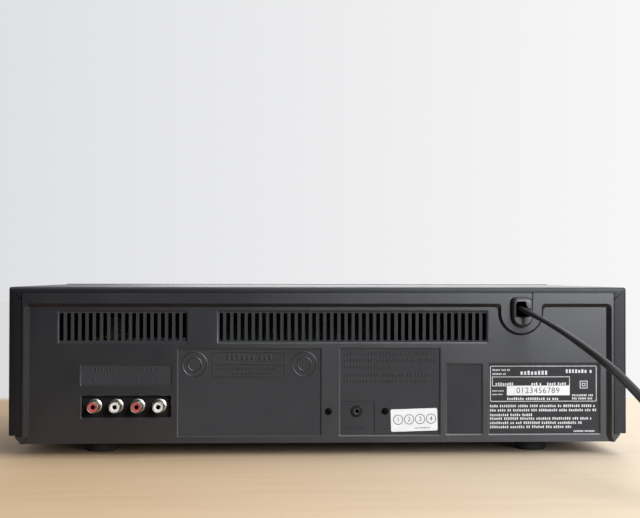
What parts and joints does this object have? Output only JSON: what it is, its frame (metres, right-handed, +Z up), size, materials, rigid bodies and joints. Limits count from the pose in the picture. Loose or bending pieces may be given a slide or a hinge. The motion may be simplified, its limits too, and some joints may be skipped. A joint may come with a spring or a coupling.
{
  "type": "cassette duplicator",
  "caption": "Full-width twin cassette deck with tape-copying keys, hinged cassette doors and a moulded connector panel with a mains lead.",
  "frame": {"origin": "middle of the case and its knobs and jacks, on the table under the feet", "axes": "+Z up, -Y out of the front fascia, +Y out of the connector panel, +X to the right seen from the front"},
  "size_m": [0.5307, 0.5407, 0.1194],
  "materials": {
    "cover_steel": "fine-textured satin black paint",
    "chassis_steel": "zinc-plated sheet",
    "panel_plastic": "fine-grained moulded black",
    "fascia_plastic": "moulded black, satin",
    "foot_plastic": "matt",
    "black_screw": "black zinc",
    "smoked_acrylic": "clear smoked, polished",
    "display_glass": "dark glass",
    "front_board": "lacquered board",
    "switch_plastic": "moulded black",
    "main_board": "paper laminate board",
    "core_steel": "varnished laminations",
    "bush_nylon": "moulded nylon, satin",
    "lead_pvc": "smooth extruded",
    "plug_pvc": "moulded, satin",
    "pin_metal": "nickel-plated",
    "jack_plastic": "moulded black",
    "nickel": "nickel-plated, bright",
    "red_plastic": "moulded red",
    "white_plastic": "moulded white",
    "plated_steel": "zinc-plated pressing",
    "belt_rubber": "ground rubber",
    "door_plastic": "moulded black, polished",
    "reel_plastic": "moulded acetal",
    "flywheel_metal": "turned",
    "motor_can": "drawn can",
    "roller_rubber": "ground rubber",
    "key_plastic": "moulded black, satin",
    "knob_plastic": "moulded black, turned rim"
  },
  "bodies": {
    "case": {"chassis_pan": "chassis_steel", "top_cover": "cover_steel", "rear_panel": "panel_plastic", "front_fascia": "fascia_plastic", "feet": "foot_plastic", "case_screws": "black_screw", "display_window": "smoked_acrylic", "display_module": "display_glass", "control_board": "front_board", "main_board": "main_board", "power_transformer": "core_steel", "cord_bush": "bush_nylon", "mains_cord": "lead_pvc", "mains_cord_coil": "lead_pvc", "mains_plug": "plug_pvc", "plug_pins": "pin_metal", "jack_block": "jack_plastic", "jack_shells": "nickel", "jack_inserts_red": "red_plastic", "jack_inserts_white": "white_plastic", "remote_jack": "jack_plastic", "headphone_socket": "jack_plastic", "deck_frame_a": "plated_steel", "deck_frame_b": "plated_steel", "motor_brackets": "plated_steel", "drive_belts": "belt_rubber", "drive_motors": "motor_can", "panel_switches": "switch_plastic"},
    "door_a": {"door_a": "door_plastic", "door_window_a": "smoked_acrylic"},
    "supply_reel_a": {"supply_reel_a": "reel_plastic"},
    "take_up_reel_a": {"take_up_reel_a": "reel_plastic"},
    "flywheel_a": {"flywheel_a": "flywheel_metal"},
    "motor_pulley_a": {"motor_pulley_a": "flywheel_metal"},
    "head_carriage_a": {"head_carriage_a": "plated_steel"},
    "pinch_roller_a": {"pinch_roller_a": "roller_rubber"},
    "eject_button_a": {"eject_button_a": "key_plastic"},
    "door_b": {"door_b": "door_plastic", "door_window_b": "smoked_acrylic"},
    "supply_reel_b": {"supply_reel_b": "reel_plastic"},
    "take_up_reel_b": {"take_up_reel_b": "reel_plastic"},
    "flywheel_b": {"flywheel_b": "flywheel_metal"},
    "motor_pulley_b": {"motor_pulley_b": "flywheel_metal"},
    "head_carriage_b": {"head_carriage_b": "plated_steel"},
    "pinch_roller_b": {"pinch_roller_b": "roller_rubber"},
    "eject_button_b": {"eject_button_b": "key_plastic"},
    "power_button": {"power_button": "key_plastic"},
    "rewind_a": {"rewind_a": "key_plastic"},
    "play_a": {"play_a": "key_plastic"},
    "forward_a": {"forward_a": "key_plastic"},
    "stop_a": {"stop_a": "key_plastic"},
    "rewind_b": {"rewind_b": "key_plastic"},
    "play_b": {"play_b": "key_plastic"},
    "forward_b": {"forward_b": "key_plastic"},
    "stop_b": {"stop_b": "key_plastic"},
    "record_b": {"record_b": "key_plastic"},
    "dub_key": {"dub_key": "key_plastic"},
    "fast_dub_key": {"fast_dub_key": "key_plastic"},
    "record_level_knob": {"record_level_knob": "knob_plastic"},
    "phones_level_knob": {"phones_level_knob": "knob_plastic"}
  },
  "joints": [
    {"name": "door_a_hinge", "type": "hinge", "parent": "case", "child": "door_a", "pos_m": [-0.142, -0.1225, 0.043], "axis": [1, 0, 0], "range_deg": [0, 26]},
    {"name": "supply_reel_a_turn", "type": "hinge", "parent": "case", "child": "supply_reel_a", "pos_m": [-0.16325, -0.117, 0.0805], "axis": [0, 1, 0], "continuous": true},
    {"name": "take_up_reel_a_turn", "type": "hinge", "parent": "case", "child": "take_up_reel_a", "pos_m": [-0.12075, -0.117, 0.0805], "axis": [0, 1, 0], "continuous": true},
    {"name": "flywheel_a_turn", "type": "hinge", "parent": "case", "child": "flywheel_a", "pos_m": [-0.112, -0.1015, 0.0545], "axis": [0, 1, 0], "continuous": true},
    {"name": "motor_pulley_a_turn", "type": "hinge", "parent": "case", "child": "motor_pulley_a", "pos_m": [-0.166, -0.1015, 0.058], "axis": [0, 1, 0], "continuous": true},
    {"name": "head_carriage_a_lift", "type": "slide", "parent": "case", "child": "head_carriage_a", "axis": [0, 0, 1], "range_m": [0, 0.0064]},
    {"name": "pinch_roller_a_turn", "type": "hinge", "parent": "head_carriage_a", "child": "pinch_roller_a", "pos_m": [-0.112, -0.117, 0.041], "axis": [0, 1, 0], "continuous": true},
    {"name": "eject_button_a_push", "type": "slide", "parent": "case", "child": "eject_button_a", "axis": [0, 1, 0], "range_m": [0, 0.003], "stiffness_N_per_m": 500},
    {"name": "door_b_hinge", "type": "hinge", "parent": "case", "child": "door_b", "pos_m": [0.142, -0.1225, 0.043], "axis": [1, 0, 0], "range_deg": [0, 26]},
    {"name": "supply_reel_b_turn", "type": "hinge", "parent": "case", "child": "supply_reel_b", "pos_m": [0.12075, -0.117, 0.0805], "axis": [0, 1, 0], "continuous": true},
    {"name": "take_up_reel_b_turn", "type": "hinge", "parent": "case", "child": "take_up_reel_b", "pos_m": [0.16325, -0.117, 0.0805], "axis": [0, 1, 0], "continuous": true},
    {"name": "flywheel_b_turn", "type": "hinge", "parent": "case", "child": "flywheel_b", "pos_m": [0.172, -0.1015, 0.0545], "axis": [0, 1, 0], "continuous": true},
    {"name": "motor_pulley_b_turn", "type": "hinge", "parent": "case", "child": "motor_pulley_b", "pos_m": [0.118, -0.1015, 0.058], "axis": [0, 1, 0], "continuous": true},
    {"name": "head_carriage_b_lift", "type": "slide", "parent": "case", "child": "head_carriage_b", "axis": [0, 0, 1], "range_m": [0, 0.0064]},
    {"name": "pinch_roller_b_turn", "type": "hinge", "parent": "head_carriage_b", "child": "pinch_roller_b", "pos_m": [0.172, -0.117, 0.041], "axis": [0, 1, 0], "continuous": true},
    {"name": "eject_button_b_push", "type": "slide", "parent": "case", "child": "eject_button_b", "axis": [0, 1, 0], "range_m": [0, 0.003], "stiffness_N_per_m": 500},
    {"name": "power_button_push", "type": "slide", "parent": "case", "child": "power_button", "axis": [0, 1, 0], "range_m": [0, 0.003], "stiffness_N_per_m": 500},
    {"name": "rewind_a_push", "type": "slide", "parent": "case", "child": "rewind_a", "axis": [0, 1, 0], "range_m": [0, 0.0015], "stiffness_N_per_m": 800},
    {"name": "play_a_push", "type": "slide", "parent": "case", "child": "play_a", "axis": [0, 1, 0], "range_m": [0, 0.0015], "stiffness_N_per_m": 800},
    {"name": "forward_a_push", "type": "slide", "parent": "case", "child": "forward_a", "axis": [0, 1, 0], "range_m": [0, 0.0015], "stiffness_N_per_m": 800},
    {"name": "stop_a_push", "type": "slide", "parent": "case", "child": "stop_a", "axis": [0, 1, 0], "range_m": [0, 0.0015], "stiffness_N_per_m": 800},
    {"name": "rewind_b_push", "type": "slide", "parent": "case", "child": "rewind_b", "axis": [0, 1, 0], "range_m": [0, 0.0015], "stiffness_N_per_m": 800},
    {"name": "play_b_push", "type": "slide", "parent": "case", "child": "play_b", "axis": [0, 1, 0], "range_m": [0, 0.0015], "stiffness_N_per_m": 800},
    {"name": "forward_b_push", "type": "slide", "parent": "case", "child": "forward_b", "axis": [0, 1, 0], "range_m": [0, 0.0015], "stiffness_N_per_m": 800},
    {"name": "stop_b_push", "type": "slide", "parent": "case", "child": "stop_b", "axis": [0, 1, 0], "range_m": [0, 0.0015], "stiffness_N_per_m": 800},
    {"name": "record_b_push", "type": "slide", "parent": "case", "child": "record_b", "axis": [0, 1, 0], "range_m": [0, 0.0015], "stiffness_N_per_m": 800},
    {"name": "dub_key_push", "type": "slide", "parent": "case", "child": "dub_key", "axis": [0, 1, 0], "range_m": [0, 0.0015], "stiffness_N_per_m": 800},
    {"name": "fast_dub_key_push", "type": "slide", "parent": "case", "child": "fast_dub_key", "axis": [0, 1, 0], "range_m": [0, 0.0015], "stiffness_N_per_m": 800},
    {"name": "record_level_knob_turn", "type": "hinge", "parent": "case", "child": "record_level_knob", "pos_m": [0.038, -0.131, 0.058], "axis": [0, -1, 0], "range_deg": [-150, 150]},
    {"name": "phones_level_knob_turn", "type": "hinge", "parent": "case", "child": "phones_level_knob", "pos_m": [-0.034, -0.131, 0.024], "axis": [0, -1, 0], "range_deg": [-150, 150]}
  ],
  "couplings": [
    {"joint": "motor_pulley_a_turn", "follows": "flywheel_a_turn", "ratio": 5.3333},
    {"joint": "motor_pulley_b_turn", "follows": "flywheel_b_turn", "ratio": 5.3333}
  ]
}
